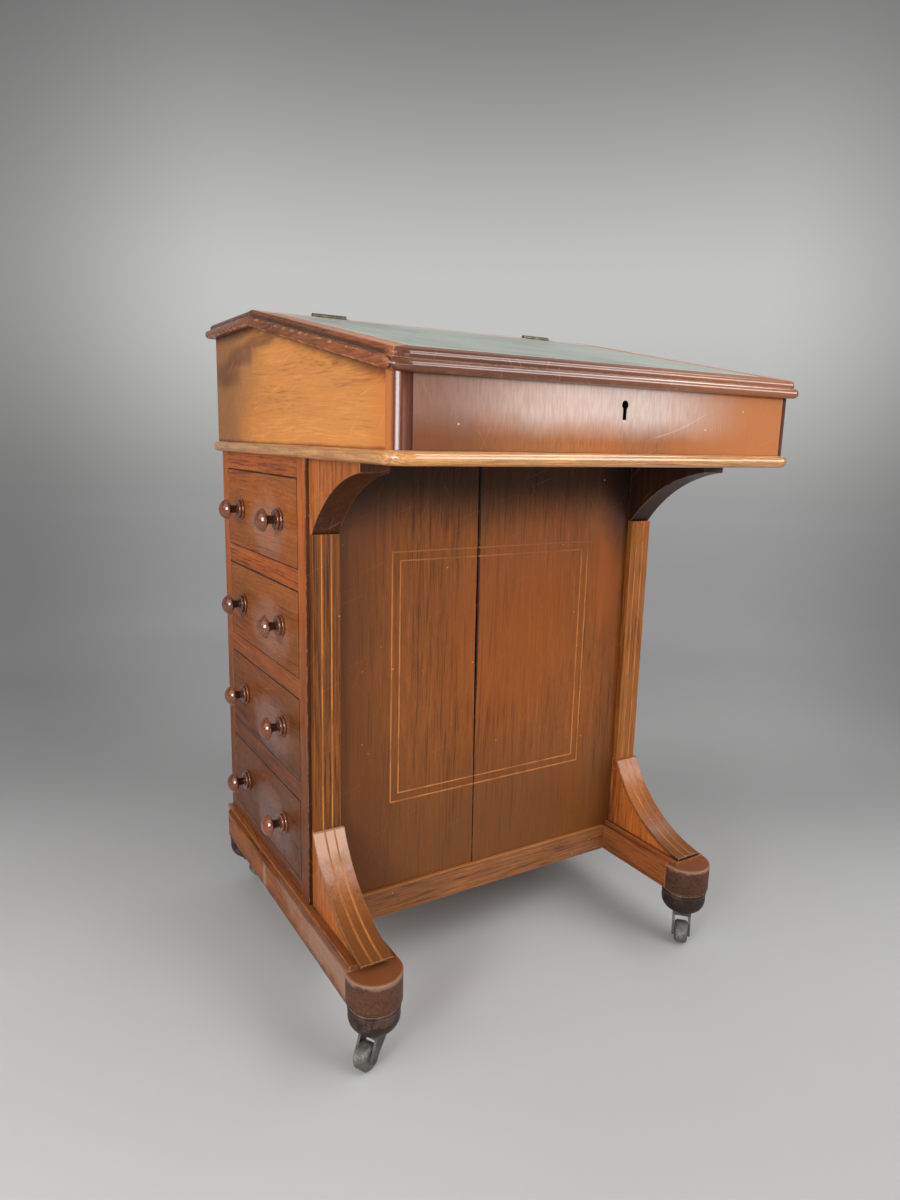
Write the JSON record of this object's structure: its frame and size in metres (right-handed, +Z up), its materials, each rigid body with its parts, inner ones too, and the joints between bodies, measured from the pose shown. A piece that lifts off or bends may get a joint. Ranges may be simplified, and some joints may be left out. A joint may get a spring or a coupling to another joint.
{
  "type": "davenport desk",
  "caption": "Small writing desk: a sloping hinged lid over a case with a small nest of drawers, on a pedestal of side drawers with swept brackets and sledge feet on castors.",
  "frame": {"origin": "on the floor under the middle of the overall box", "axes": "+Z is up, the front with the lid's low edge and the knee space faces -Y, the rear faces +Y, and the four working drawers open towards -X"},
  "size_m": [0.586, 0.5721, 0.8392],
  "materials": {
    "mahogany": "old polished mahogany, mid brown, worn pale on edges",
    "red_mahogany": "old polished mahogany, red-brown with orange patches",
    "dark_mahogany": "old polished mahogany, dark red-brown with bright highlights",
    "turned_wood": "turned wood, dark and rubbed",
    "boxwood": "pale orange boxwood lines let in flush",
    "plain_wood": "plain unpolished wood inside the case and drawers",
    "lid_leather": "grey-green tooled writing leather",
    "cast_iron": "dark cast iron, wheels rubbed grey",
    "hinge_brass": "aged dark brass",
    "lock_steel": "aged steel"
  },
  "bodies": {
    "desk": {"drawer_rails": "mahogany", "base_rails": "mahogany", "upper_brackets": "mahogany", "dummy_drawer_fronts": "mahogany", "sledge_foot_left": "mahogany", "sledge_foot_right": "mahogany", "foot_ledges": "mahogany", "side_stiles": "mahogany", "case_side_left": "mahogany", "case_side_right": "mahogany", "back_panel": "mahogany", "case_back": "mahogany", "front_board_left": "red_mahogany", "front_board_right": "red_mahogany", "foot_noses": "red_mahogany", "bracket_facings": "red_mahogany", "lower_brackets": "red_mahogany", "pilasters": "red_mahogany", "case_front": "dark_mahogany", "case_corner_posts": "dark_mahogany", "fixed_top": "dark_mahogany", "case_moulding": "dark_mahogany", "foot_buns": "turned_wood", "dummy_knobs": "turned_wood", "boxwood_lines": "boxwood", "base_board": "plain_wood", "drawer_runners": "plain_wood", "case_bottom": "plain_wood", "drawer_nest": "plain_wood", "castor_plates": "cast_iron", "hinge_fixed_leaves": "hinge_brass", "lock_body": "lock_steel"},
    "lid": {"lid": "dark_mahogany", "lid_leather": "lid_leather", "hinge_lid_leaves": "hinge_brass", "lock_strike": "hinge_brass"},
    "lock_bolt": {"lock_bolt": "lock_steel"},
    "small_drawer_left": {"small_drawer_left": "plain_wood"},
    "small_drawer_right": {"small_drawer_right": "plain_wood"},
    "drawer_1": {"drawer_1_front": "mahogany", "drawer_1_box": "plain_wood", "drawer_1_knobs": "turned_wood"},
    "drawer_2": {"drawer_2_front": "mahogany", "drawer_2_box": "plain_wood", "drawer_2_knobs": "turned_wood"},
    "drawer_3": {"drawer_3_front": "mahogany", "drawer_3_box": "plain_wood", "drawer_3_knobs": "turned_wood"},
    "drawer_4": {"drawer_4_front": "mahogany", "drawer_4_box": "plain_wood", "drawer_4_knobs": "turned_wood"},
    "castor_front_left_fork": {"castor_front_left_fork": "cast_iron"},
    "castor_front_left_wheel": {"castor_front_left_wheel": "cast_iron"},
    "castor_front_right_fork": {"castor_front_right_fork": "cast_iron"},
    "castor_front_right_wheel": {"castor_front_right_wheel": "cast_iron"},
    "castor_rear_left_fork": {"castor_rear_left_fork": "cast_iron"},
    "castor_rear_left_wheel": {"castor_rear_left_wheel": "cast_iron"},
    "castor_rear_right_fork": {"castor_rear_right_fork": "cast_iron"},
    "castor_rear_right_wheel": {"castor_rear_right_wheel": "cast_iron"}
  },
  "joints": [
    {"name": "lid_hinge", "type": "hinge", "parent": "desk", "child": "lid", "pos_m": [0, 0.1037, 0.836], "axis": [-1, 0, 0], "range_deg": [0, 100]},
    {"name": "bolt_slide", "type": "slide", "parent": "desk", "child": "lock_bolt", "axis": [0, 0, 1], "range_m": [0, 0.01]},
    {"name": "small_drawer_left_slide", "type": "slide", "parent": "desk", "child": "small_drawer_left", "axis": [0, -1, 0], "range_m": [0, 0.09]},
    {"name": "small_drawer_right_slide", "type": "slide", "parent": "desk", "child": "small_drawer_right", "axis": [0, -1, 0], "range_m": [0, 0.09]},
    {"name": "drawer_1_slide", "type": "slide", "parent": "desk", "child": "drawer_1", "axis": [-1, 0, 0], "range_m": [0, 0.36]},
    {"name": "drawer_2_slide", "type": "slide", "parent": "desk", "child": "drawer_2", "axis": [-1, 0, 0], "range_m": [0, 0.36]},
    {"name": "drawer_3_slide", "type": "slide", "parent": "desk", "child": "drawer_3", "axis": [-1, 0, 0], "range_m": [0, 0.36]},
    {"name": "drawer_4_slide", "type": "slide", "parent": "desk", "child": "drawer_4", "axis": [-1, 0, 0], "range_m": [0, 0.36]},
    {"name": "castor_front_left_swivel", "type": "hinge", "parent": "desk", "child": "castor_front_left_fork", "pos_m": [-0.242, -0.197, 0.04], "axis": [0, 0, 1], "continuous": true},
    {"name": "castor_front_left_roll", "type": "hinge", "parent": "castor_front_left_fork", "child": "castor_front_left_wheel", "pos_m": [-0.25524, -0.20404, 0.015], "axis": [0.4695, -0.8829, 0], "continuous": true},
    {"name": "castor_front_right_swivel", "type": "hinge", "parent": "desk", "child": "castor_front_right_fork", "pos_m": [0.242, -0.197, 0.04], "axis": [0, 0, 1], "continuous": true},
    {"name": "castor_front_right_roll", "type": "hinge", "parent": "castor_front_right_fork", "child": "castor_front_right_wheel", "pos_m": [0.23121, -0.20742, 0.015], "axis": [0.6947, -0.7193, 0], "continuous": true},
    {"name": "castor_rear_left_swivel", "type": "hinge", "parent": "desk", "child": "castor_rear_left_fork", "pos_m": [-0.242, 0.244, 0.04], "axis": [0, 0, 1], "continuous": true},
    {"name": "castor_rear_left_roll", "type": "hinge", "parent": "castor_rear_left_fork", "child": "castor_rear_left_wheel", "pos_m": [-0.22751, 0.24788, 0.015], "axis": [-0.2588, 0.9659, 0], "continuous": true},
    {"name": "castor_rear_right_swivel", "type": "hinge", "parent": "desk", "child": "castor_rear_right_fork", "pos_m": [0.242, 0.244, 0.04], "axis": [0, 0, 1], "continuous": true},
    {"name": "castor_rear_right_roll", "type": "hinge", "parent": "castor_rear_right_fork", "child": "castor_rear_right_wheel", "pos_m": [0.2394, 0.25877, 0.015], "axis": [-0.9848, -0.1736, 0], "continuous": true}
  ]
}
